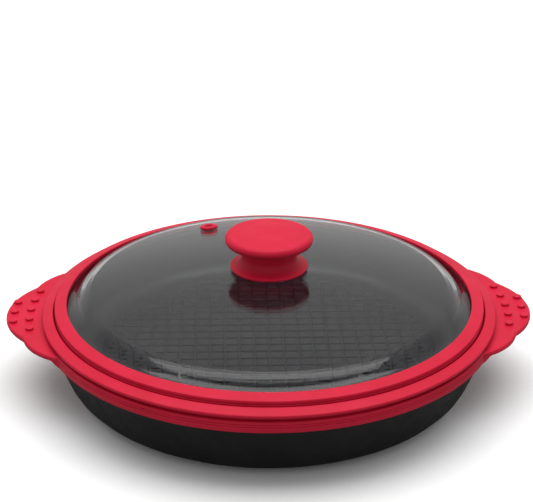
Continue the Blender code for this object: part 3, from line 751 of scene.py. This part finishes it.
def copies_on_screw_circle(name, mesh, look):
    values = {"Count": SCREW_COUNT, "Circle": SCREW_CIRCLE * MM, "First Angle": radians(SCREW_ANGLE)}
    return grown(name, RING_OF_COPIES, values | {"Material": look}, mesh)


def make_heat_layer(look):
    corners = [(0, HEAT_TOP, 0), (HEAT_RADIUS, HEAT_TOP, 0.4), (HEAT_RADIUS, HEAT_UNDER, 0.6),
               (0, HEAT_UNDER, 0)]
    disc = turned("heat_layer", rounded(corners), look)
    hole = cylinder_mesh("heat_hole", PILLAR_RADIUS + 1.0, HEAT_UNDER - 1, HEAT_TOP + 1, look)
    mesh = cut(disc, [copies_on_screw_circle("heat_holes", hole, look)], look)
    return piece("heat_spreading_layer", mesh, "pan", "ferrite", "heat_layer")


def cylinder_mesh(name, radius, low, high, look, steps=SMALL_STEPS):
    return turned(name, [(0, high), (radius, high), (radius, low), (0, low)], look, steps)


def side_end(radius_in, corner):
    """Angle at which the shell's sloping side leaves its round corner, in degrees."""
    across = SHELL_RADIUS - radius_in - SHELL_BASE
    up = SHELL_TOP - SHELL_COLLAR - SHELL_CORNER
    return degrees(atan2(up, across) - acos(corner / hypot(across, up)))


def make_outer_shell(look):
    inner_corner = SHELL_CORNER - SHELL_WALL
    collar = SHELL_TOP - SHELL_COLLAR
    inner = SHELL_RADIUS - SHELL_WALL
    top = rounded([
        (inner, collar, 0),
        (inner, SHELL_TOP, 0.5),
        (SHELL_RADIUS, SHELL_TOP, 0.5),
        (SHELL_RADIUS, collar, 1.5),
        arc(SHELL_BASE, SHELL_CORNER, SHELL_CORNER, side_end(0.0, SHELL_CORNER), -90)[0] + (0,),
    ])[:-1]
    profile = [(0, SHELL_WALL)]
    profile += arc(SHELL_BASE, SHELL_CORNER, inner_corner, -90, side_end(SHELL_WALL, inner_corner))
    profile += top
    profile += arc(SHELL_BASE, SHELL_CORNER, SHELL_CORNER, side_end(0.0, SHELL_CORNER), -90)
    for ring in BASE_RINGS:
        profile += rounded([(ring + 0.6, BASE_LEVEL, 0), (ring + 0.4, BASE_RING_DEPTH, 0.1),
                            (ring - 0.4, BASE_RING_DEPTH, 0.1), (ring - 0.6, BASE_LEVEL, 0)])
    profile.append((0, BASE_LEVEL))
    shell = turned("outer_shell", profile, look)
    pillar = cylinder_mesh("pillar", PILLAR_RADIUS, SHELL_WALL / 2, PILLAR_TOP, look)
    bore = turned("recess", [
        (0, PILLAR_TOP + 1), (BOSS_BORE, PILLAR_TOP + 1), (BOSS_BORE, RECESS_DEPTH),
        (RECESS_RADIUS, RECESS_DEPTH), (RECESS_RADIUS, -1), (0, -1),
    ], look, SMALL_STEPS)
    pillars = copies_on_screw_circle("pillars", pillar, look)
    recesses = copies_on_screw_circle("recesses", bore, look)
    shell = cut(shell, [pillars], look, "UNION")
    shell = cut(shell, [recesses], look)
    mesh = joined("outer_shell", [shell, make_ears(look)], look)
    return piece("satin_outer_shell", mesh, "pan", "shell", "outer_shell")


def circle_reach(angle, centre_x, centre_y, radius):
    """Distance from the origin to the far side of a circle, along a direction; 0 where it misses."""
    along = centre_x * cos(angle) + centre_y * sin(angle)
    across = centre_y * cos(angle) - centre_x * sin(angle)
    if abs(across) >= radius or along <= 0:
        return 0.0
    return along + sqrt(radius**2 - across**2)


def handle_reach(angle, inset, ring_radius):
    """Outline of the ring with its three-lobed handles, set in by a distance."""
    direction = atan2(sin(angle), abs(cos(angle)))
    side_x = RIM_RADIUS - SIDE_INSET
    lobes = (
        (HANDLE_TIP - TIP_LOBE, 0.0, TIP_LOBE - inset),
        (side_x, SIDE_SPREAD, SIDE_LOBE - inset),
        (side_x, -SIDE_SPREAD, SIDE_LOBE - inset),
    )
    reach = ring_radius - inset
    for lobe in lobes:
        other = circle_reach(direction, *lobe)
        overlap = max(LOBE_BLEND - abs(reach - other), 0.0)
        reach = max(reach, other) + overlap**2 / (4 * LOBE_BLEND)
    return reach


def lofted(name, rows_at, steps, look):
    """A closed ring lofted through a section of (r, z) points at each angle."""
    form = bmesh.new()
    loops = []
    for step in range(steps):
        angle = 2 * pi * step / steps
        loops.append([form.verts.new((r * cos(angle) * MM, r * sin(angle) * MM, z * MM))
                      for r, z in rows_at(angle)])
    for index, loop in enumerate(loops):
        after = loops[(index + 1) % steps]
        for row in range(len(loop)):
            nearby = row - 1
            form.faces.new((loop[nearby], loop[row], after[row], after[nearby]))
    mesh = bpy.data.meshes.new(name)
    form.to_mesh(mesh)
    form.free()
    mesh.materials.append(look)
    tidy_faces(mesh)
    return mesh


def make_ears(look):
    """The flat plate on the shell's upper edge that stiffens the handles."""
    inside = SHELL_RADIUS - SHELL_WALL / 2
    top = SHELL_TOP - EAR_DROP
    low = top - EAR_THICK

    def section(angle):
        reach = handle_reach(angle, EAR_COVER, SHELL_RADIUS + EAR_COVER - 0.2)
        return [(inside, low), (inside, top), (reach, top), (reach, low)]

    return lofted("ears", section, ROUND_STEPS, look)


def edge_round(angle, level, radius, below):
    """A quarter round on the handle's outline, from the top in to the side or from the side down."""
    points = []
    for step in range(7):
        turn = pi / 2 * step / 6
        inset = radius * (1 - cos(turn) if below else 1 - sin(turn))
        drop = radius * (sin(turn) if below else 1 - cos(turn))
        points.append((handle_reach(angle, inset, BAND_RADIUS), level - drop))
    return points


def handle_section(angle):
    """Section of the lower ring: a grooved band that turns into a thin plate on a pad at the handles."""
    inside = SHELL_RADIUS + GAP
    reach = handle_reach(angle, 0.0, BAND_RADIUS)
    plate = min(max((reach - BAND_RADIUS) / 4.0, 0.0), 1.0)
    plate = plate**2 * (3 - 2 * plate)
    under = BAND_UNDER + plate * (BAND_TOP - BAND_UNDER - HANDLE_THICK)
    pad_under = under - plate * PAD_RISE
    low_round = EDGE_ROUND * 0.8
    top = edge_round(angle, BAND_TOP, EDGE_ROUND, below=False)
    low = edge_round(angle, under + low_round, low_round, below=True)
    points = [(inside, BAND_UNDER), (inside, BAND_TOP)]
    for step in range(1, 8):
        points.append((inside + (top[0][0] - inside) * step / 8, BAND_TOP))
    points += top
    side_top, side_low = top[-1][1], low[0][1]
    depth = BAND_GROOVE_DEPTH * (1 - plate)
    for share in BAND_GROOVES:
        for offset, sunk in ((-0.06, 0.0), (-0.02, 1.0), (0.02, 1.0), (0.06, 0.0)):
            level = side_top + (side_low - side_top) * (share + offset)
            points.append((reach - depth * sunk, level))
    points += low
    foot = inside + 0.7
    pad = max(points[-1][0] - PAD_INSET * plate, foot + 0.1)
    points += [(pad + 0.6 * plate, under), (pad, pad_under), ((pad + foot) / 2, pad_under)]
    return points + [(foot, pad_under), (foot, BAND_UNDER)]


def make_handle_ring(look):
    band = lofted("handle_band", handle_section, BAND_STEPS, look)
    nub_rise = NUB_TOP - BAND_TOP + NUB_EXTRA
    section = [
        (0, nub_rise, 0),
        (NUB_RADIUS + 0.15, nub_rise - 0.1, 0.35),
        (NUB_RADIUS - 0.25, 0.05, 0.12),
        (NUB_RADIUS + 1.0, -0.12, 0),
        (NUB_RADIUS + 0.6, -0.6, 0),
        (0, -0.6, 0),
    ]
    nub = turned("nub", rounded(section), look, 28)
    (long_in, long_count, long_shift), (short_in, short_count, short_shift) = NUB_ROWS
    nubs = grown("grip_nubs", GRIP_NUBS, {
        "Pitch": NUB_PITCH * MM, "Level": BAND_TOP * MM, "Material": look,
        "Long Row Radius": (HANDLE_TIP - long_in) * MM, "Long Row Count": long_count,
        "Long Row Shift": long_shift * MM,
        "Short Row Radius": (HANDLE_TIP - short_in) * MM, "Short Row Count": short_count,
        "Short Row Shift": short_shift * MM,
    }, nub)
    mesh = joined("handle_ring", [band, nubs], look)
    return piece("lower_silicone_ring", mesh, "pan", "red_silicone", "handle_ring")


def make_base_fixings(steel, rubber):
    low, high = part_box("base_screw_1")
    tip = high.z / MM
    under = low.z / MM
    seat = RECESS_DEPTH - GAP
    head = [
        (0, tip, 0),
        (SCREW_TIP_RADIUS, tip, 0.2),
        (SCREW_RADIUS, tip - 0.8, 0.3),
        (SCREW_RADIUS, seat, 0.2),
        (SCREW_HEAD_RADIUS, seat, 0.2),
        (SCREW_HEAD_RADIUS, under, 0.5),
        (0, under, 0),
    ]
    screw = cut(turned("base_screw", rounded(head), steel, SMALL_STEPS),
                cross_slots(under, *SCREW_CROSS, steel), steel)
    screws = copies_on_screw_circle("base_screws", screw, steel)
    names = [f"base_screw_{n + 1}" for n in range(SCREW_COUNT)]
    piece("base_screws", screws, "pan", "steel", *names)
    low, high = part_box("screw_plug_1")
    radius = (high.x - low.x) / 2 / MM
    bottom = low.z / MM
    top = high.z / MM
    cap = [(0, top, 0), (radius, top, 0.2), (radius, bottom, 0.4), (radius - 1.2, bottom, 0.15),
           (radius - 1.4, bottom + 0.3, 0.1), (0, bottom + 0.3, 0)]
    plugs = copies_on_screw_circle("screw_plugs", turned("plug", rounded(cap), rubber, SMALL_STEPS), rubber)
    names = [f"screw_plug_{n + 1}" for n in range(SCREW_COUNT)]
    piece("screw_plugs", plugs, "pan", "black_silicone", *names)


def cross_slots(level, width, reach, look):
    """Two crossed blocks that cut a driver's cross into a screw head's underside."""
    blocks = []
    for across, along in ((width, reach), (reach, width)):
        form = bmesh.new()
        bmesh.ops.create_cube(form, size=1.0)
        size = Matrix.Diagonal((across * MM, along * MM, 2.0 * MM, 1.0))
        place = Matrix.Translation((0, 0, level * MM))
        bmesh.ops.transform(form, matrix=place @ size, verts=form.verts)
        block = bpy.data.meshes.new("slot")
        form.to_mesh(block)
        form.free()
        block.materials.append(look)
        blocks.append(block)
    return blocks


# ---------------------------------------------------------------- lid


def dome_level(r):
    """Height of the glass's upper face inside the shoulder."""
    return CROWN - DOME_RADIUS + sqrt(DOME_RADIUS**2 - r**2)


def glass_upper():
    """Upper face of the glass from its hole out to its edge, as (r, z) points."""
    rings = 24
    points = []
    for index in range(rings):
        r = GLASS_HOLE + (SHOULDER_TOP - DOME_END - GLASS_HOLE) * index / (rings - 1)
        points.append((r, dome_level(r)))
    bend = rounded([
        (points[-1][0], points[-1][1], 0),
        (SHOULDER_TOP + 0.8, dome_level(SHOULDER_TOP + 0.8), SHOULDER_BEND),
        (SHOULDER_FOOT - 0.4, GLASS_FLAT, FOOT_BEND),
        (GLASS_RADIUS - 2.0, GLASS_FLAT, 0),
    ])
    return points + bend[1:]


def shifted(points, distance):
    """Points moved square to their line, to the right of its direction."""
    made = []
    for index, (r, z) in enumerate(points):
        before = Vector(points[max(index - 1, 0)])
        after = Vector(points[min(index + 1, len(points) - 1)])
        along = (after - before).normalized()
        made.append((r + along.y * distance, z - along.x * distance))
    return made


def make_lid_glass(look):
    upper = glass_upper()
    under = shifted(upper, GLASS_THICK)
    under[0] = (GLASS_HOLE, dome_level(GLASS_HOLE) - GLASS_THICK)
    edge = arc(GLASS_RADIUS - GLASS_THICK / 2, GLASS_FLAT - GLASS_THICK / 2, GLASS_THICK / 2, 90, -90)
    glass = turned("lid_glass", upper[:-1] + edge + under[:-1][::-1], look, closed=True)
    hole = cylinder_mesh("vent_hole", VENT_NECK + GAP, -8, 6, look)
    hole.transform(vent_place())
    mesh = cut(glass, [hole], look)
    return piece("domed_glass", mesh, "lid", "glass", "lid_glass")


def vent_place():
    """Where the vent sits on the glass, square to it."""
    low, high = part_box("steam_vent")
    middle = (low + high) / 2
    turn = atan2(middle.y, middle.x)
    circle = round(hypot(middle.x, middle.y) / MM)
    tilt = asin(circle / DOME_RADIUS)
    spot = Vector((circle * cos(turn), circle * sin(turn), dome_level(circle))) * MM
    return Matrix.Translation(spot) @ Matrix.Rotation(turn, 4, "Z") @ Matrix.Rotation(tilt, 4, "Y")


def make_steam_vent(look):
    under = -GLASS_THICK - 0.45
    section = [
        (VENT_BORE, VENT_RISE, 1.1),
        (VENT_OUTSIDE, VENT_RISE, 1.15),
        (VENT_OUTSIDE, GAP, 0.6),
        (VENT_NECK, GAP, 0.1),
        (VENT_NECK, under, 0.1),
        (VENT_OUTSIDE - 0.7, under, 0.3),
        (VENT_OUTSIDE - 0.8, under - 1.6, 0.6),
        (VENT_BORE, under - 1.6, 0.5),
    ]
    mesh = ring_section("steam_vent", section, look, SMALL_STEPS)
    mesh.transform(vent_place())
    return piece("vent_grommet", mesh, "lid", "red_silicone", "steam_vent")


def make_lid_edge_seal(look):
    inner = SEAL_RADIUS - SEAL_WIDTH
    slot_top = GLASS_FLAT + GAP
    slot_under = GLASS_UNDER - GAP
    slot = GLASS_RADIUS + GAP
    seam = LID_PLANE - 2.1
    section = [
        (inner, SEAL_CREST + 0.05, 0.55),
        (SEAL_RADIUS, LID_PLANE, 0.7),
        (SEAL_RADIUS, seam + 0.35, 0.2),
        (SEAL_RADIUS - 0.55, seam + 0.1, 0.12),
        (SEAL_RADIUS - 0.55, seam - 0.15, 0.12),
        (SEAL_RADIUS, seam - 0.45, 0.3),
        (SEAL_RADIUS, SEAL_UNDER, 0.6),
        (inner + 0.8, SEAL_UNDER, 0.3),
        (inner + 0.8, slot_under, 0.15),
        (slot - 1.6, slot_under, 0.5),
        (slot, slot_under + 1.7, 0.9),
        (slot, slot_top - 1.7, 0.9),
        (slot - 1.6, slot_top, 0.5),
        (inner, slot_top, 0.15),
    ]
    mesh = ring_section("lid_edge_seal", section, look)
    return piece("lid_edge_ring", mesh, "lid", "red_silicone", "lid_edge_seal")


def knob_outline(inset):
    """The knob's profile from its crown to its waist, set in by a distance, with (r, z, rounding)."""
    top = KNOB_TOP - inset
    radius = KNOB_RADIUS - inset
    neck = NECK_RADIUS - inset
    under = KNOB_TOP - HEAD_THICK + inset
    waist = CROWN + WAIST_RISE
    edge = max(3.1 - inset, 0.4)
    return [
        (0, top, 0),
        (radius * 0.45, top - 0.12, 20.0),
        (radius + 0.05, top - 1.3, edge),
        (radius - 2.6, under - 0.2, max(2.4 - inset * 0.8, 0.3)),
        (neck + 1.2, under - 2.2, 3.4 + inset * 0.5),
        (neck, waist, 4.0),
    ]


def make_knob_cover(look):
    foot = KNOB_FOOT
    seat = CROWN + GAP
    outside = knob_outline(0.0) + [
        (NECK_RADIUS + 2.0, seat + 2.3, 5.5),
        (FOOT_RADIUS, seat + 0.75, 0.3),
        (FOOT_RADIUS - 0.3, foot, 0.2),
        (NECK_RADIUS - SKIN, seat, 0.2),
    ]
    inside = knob_outline(SKIN)[::-1]
    mesh = turned("knob_cover", rounded(outside + inside), look, KNOB_STEPS)
    return piece("knob_skin", mesh, "lid", "red_silicone", "knob_cover")


def make_knob_core(look):
    """The stiff core inside the knob's skin, with a socket for the insert."""
    inset = SKIN + GAP
    bore = INSERT_RADIUS + GAP
    socket_top = INSERT_TOP + GAP
    core = knob_outline(inset) + [
        (NECK_RADIUS - inset, CORE_FOOT, 0.4),
        (bore, CORE_FOOT, 0.3),
        (bore, socket_top, 0.3),
        (0, socket_top, 0),
    ]
    mesh = turned("knob_core", rounded(core), look, CORE_STEPS)
    return piece("knob_body", mesh, "lid", "phenolic", "knob_core")


def make_knob_insert(look):
    """The threaded insert, with rings that grip the core."""
    inside = BOLT_RADIUS + GAP
    root = INSERT_RADIUS - INSERT_TOOTH
    rows = [(inside, INSERT_TOP, 0.3)]
    pitch = (INSERT_TOP - INSERT_FOOT - 2.0) / INSERT_TEETH
    for tooth in range(INSERT_TEETH):
        z = INSERT_TOP - 1.0 - tooth * pitch
        rows += [
            (INSERT_RADIUS, z, 0.1),
            (INSERT_RADIUS, z - pitch * 0.6, 0.1),
            (root, z - pitch * 0.7, 0.08),
            (root, z - pitch * 0.9, 0.08),
        ]
    rows += [
        (INSERT_RADIUS, INSERT_FOOT + 0.8, 0.1),
        (INSERT_RADIUS, INSERT_FOOT, 0.2),
        (inside, INSERT_FOOT, 0.3),
    ]
    mesh = ring_section("knob_insert", rows, look, SMALL_STEPS)
    return piece("threaded_insert", mesh, "lid", "brass", "knob_insert")


def make_washer(name, node_name, look, slot):
    """A washer as large as its frame node, with eased edges."""
    inside = BOLT_RADIUS + GAP
    radius, low, high = sizes(node_name)
    section = [
        (inside, high, 0.15),
        (radius, high, 0.25),
        (radius, low, 0.25),
        (inside, low, 0.15),
    ]
    mesh = ring_section(node_name, section, look, SMALL_STEPS)
    return piece(name, mesh, "lid", slot, node_name)


def make_knob_screw(look):
    seat = WASHER_UNDER - GAP
    bolt = [
        (0, BOLT_TIP, 0),
        (BOLT_RADIUS - 0.6, BOLT_TIP, 0.2),
        (BOLT_RADIUS, BOLT_TIP - 0.8, 0.3),
        (BOLT_RADIUS, seat, 0.2),
        (BOLT_HEAD_RADIUS, seat, 0.3),
        (BOLT_HEAD_RADIUS, BOLT_UNDER + 1.2, 1.0),
        (BOLT_HEAD_RADIUS - 1.6, BOLT_UNDER, 0.8),
        (0, BOLT_UNDER, 0),
    ]
    blank = turned("knob_screw", rounded(bolt), look, SMALL_STEPS)
    screw = cut(blank, cross_slots(BOLT_UNDER, *BOLT_CROSS, look), look)
    return piece("knob_screw_fine", screw, "lid", "steel", "knob_screw")


# ---------------------------------------------------------------- studio


def seen_through(tree):
    """1 for what the view meets directly or straight through glass, and 0 for what is mirrored."""
    rays = node(tree, "ShaderNodeLightPath").outputs
    straight = math(tree, "LESS_THAN", rays["Glossy Depth"], 0.5)
    through = math(tree, "MULTIPLY", rays["Is Transmission Ray"], straight)
    return math(tree, "MAXIMUM", rays["Is Camera Ray"], through)


def make_floor():
    """A pale floor, which throws little light back up on the object's sides."""
    form = bmesh.new()
    bmesh.ops.create_circle(form, cap_ends=True, segments=96, radius=STAGE_RADIUS)
    mesh = bpy.data.meshes.new("floor")
    form.to_mesh(mesh)
    form.free()
    mesh.transform(Matrix.Translation((0, 0, -0.2 * MM)))
    look = bpy.data.materials.new("pale_floor")
    look.use_nodes = True
    tree = look.node_tree
    shader = tree.nodes["Principled BSDF"]
    color = two_tone(tree, seen_through(tree), (0.3, 0.3, 0.3), (1.0, 1.0, 1.0))
    tree.links.new(color, shader.inputs["Base Color"])
    shader.inputs["Roughness"].default_value = 1.0
    shader.inputs["Specular IOR Level"].default_value = 0.0
    mesh.materials.append(look)
    new_object("floor", mesh)


def make_light(name, place, aim, width, height, power, mirrored=True):
    """A rectangular softbox; one that isn't mirrored gives light but no highlights."""
    light = bpy.data.lights.new(name, "AREA")
    light.shape = "RECTANGLE"
    light.size = width
    light.size_y = height
    light.energy = power
    obj = new_object(name, light)
    obj.location = place
    obj.rotation_euler = (Vector(aim) - Vector(place)).to_track_quat("-Z", "Y").to_euler()
    obj.visible_glossy = mirrored
    obj.visible_transmission = mirrored


def make_studio():
    make_floor()
    make_light("wide_overhead", (0.0, 0.45, 1.9), (0.0, 0.15, 0.0), 2.6, 2.6, 33.0, mirrored=False)
    make_light("highlight_softbox", (0.0, -0.05, 1.15), (0.0, 0.0, 0.0), 1.7, 0.7, 5.0)
    world = bpy.data.worlds.new("studio")
    bpy.context.scene.world = world
    world.use_nodes = True
    tree = world.node_tree
    direction = node(tree, "ShaderNodeTexCoord").outputs["Generated"]
    parts = node(tree, "ShaderNodeSeparateXYZ", {0: direction})
    glow = tree.nodes["Background"]
    glow.inputs["Color"].default_value = (1.0, 1.0, 1.0, 1.0)
    mirrored = spread(tree, parts.outputs["Y"], 0.08, 0.5, -0.3, 1.0)
    glossy = node(tree, "ShaderNodeLightPath").outputs["Is Glossy Ray"]
    strength = node(tree, "ShaderNodeMix", {0: glossy, 2: 0.5, 3: mirrored})
    tree.links.new(strength.outputs[0], glow.inputs["Strength"])
    seen = node(tree, "ShaderNodeBackground", {"Color": (1.0, 1.0, 1.0, 1.0), "Strength": 1.0})
    mixed = node(
        tree, "ShaderNodeMixShader", {0: seen_through(tree), 1: glow.outputs[0], 2: seen.outputs[0]}
    )
    tree.links.new(mixed.outputs[0], tree.nodes["World Output"].inputs["Surface"])
    bpy.context.scene.view_settings.view_transform = "Standard"


def make_camera():
    data = bpy.data.cameras.new("camera")
    data.sensor_width = 36.0
    data.lens = LENS
    obj = new_object("camera", data)
    azimuth = radians(CAMERA_AZIMUTH)
    elevation = radians(CAMERA_ELEVATION)
    rim_centre = Vector((0.0, 0.0, RIM_LEVEL))
    back = Vector((sin(azimuth) * cos(elevation), -cos(azimuth) * cos(elevation), sin(elevation)))
    obj.location = rim_centre + back * CAMERA_DISTANCE
    target = rim_centre + Vector(AIM_FROM_RIM)
    obj.rotation_euler = (target - obj.location).to_track_quat("-Z", "Y").to_euler()
    bpy.context.scene.camera = obj


# ---------------------------------------------------------------- making


TURNING = turning_tree()
RING_OF_COPIES = ring_of_copies_tree()
FLOOR_TILES = floor_tiles_tree()
GRIP_NUBS = grip_nubs_tree()

red = red_silicone()
coating = nonstick()
shell_black = satin_shell()
glass = clear_glass()
steel = turned_metal("turned_steel", (0.62, 0.62, 0.63), (0.5, 0.5, 0.51), 0.26)
brass = turned_metal("turned_brass", (0.72, 0.52, 0.22), (0.58, 0.4, 0.15), 0.3)
ferrite = grained("ferrite_silicone", (0.045, 0.043, 0.041), (0.11, 0.105, 0.1), 0.78, 1500.0, 0.06)
phenolic = grained("black_phenolic", (0.014, 0.014, 0.014), (0.03, 0.029, 0.028), 0.5, 800.0, 0.03)
plug_rubber = grained("black_silicone", (0.02, 0.02, 0.02), (0.04, 0.04, 0.04), 0.62, 1400.0, 0.04)
clear_rubber = grained("clear_silicone", (0.5, 0.51, 0.52), (0.62, 0.63, 0.63), 0.55, 900.0, 0.03)

make_camera()
make_studio()
make_grill_pan(coating)
make_heat_layer(ferrite)
make_outer_shell(shell_black)
make_rim_seal(red)
make_handle_ring(red)
make_base_fixings(steel, plug_rubber)
make_lid_glass(glass)
make_lid_edge_seal(red)
make_steam_vent(red)
make_knob_cover(red)
make_knob_core(phenolic)
make_knob_insert(brass)
make_washer("flat_washer", "knob_washer", steel, "steel")
make_washer("soft_washer", "knob_gasket", clear_rubber, "clear_silicone")
make_knob_screw(steel)
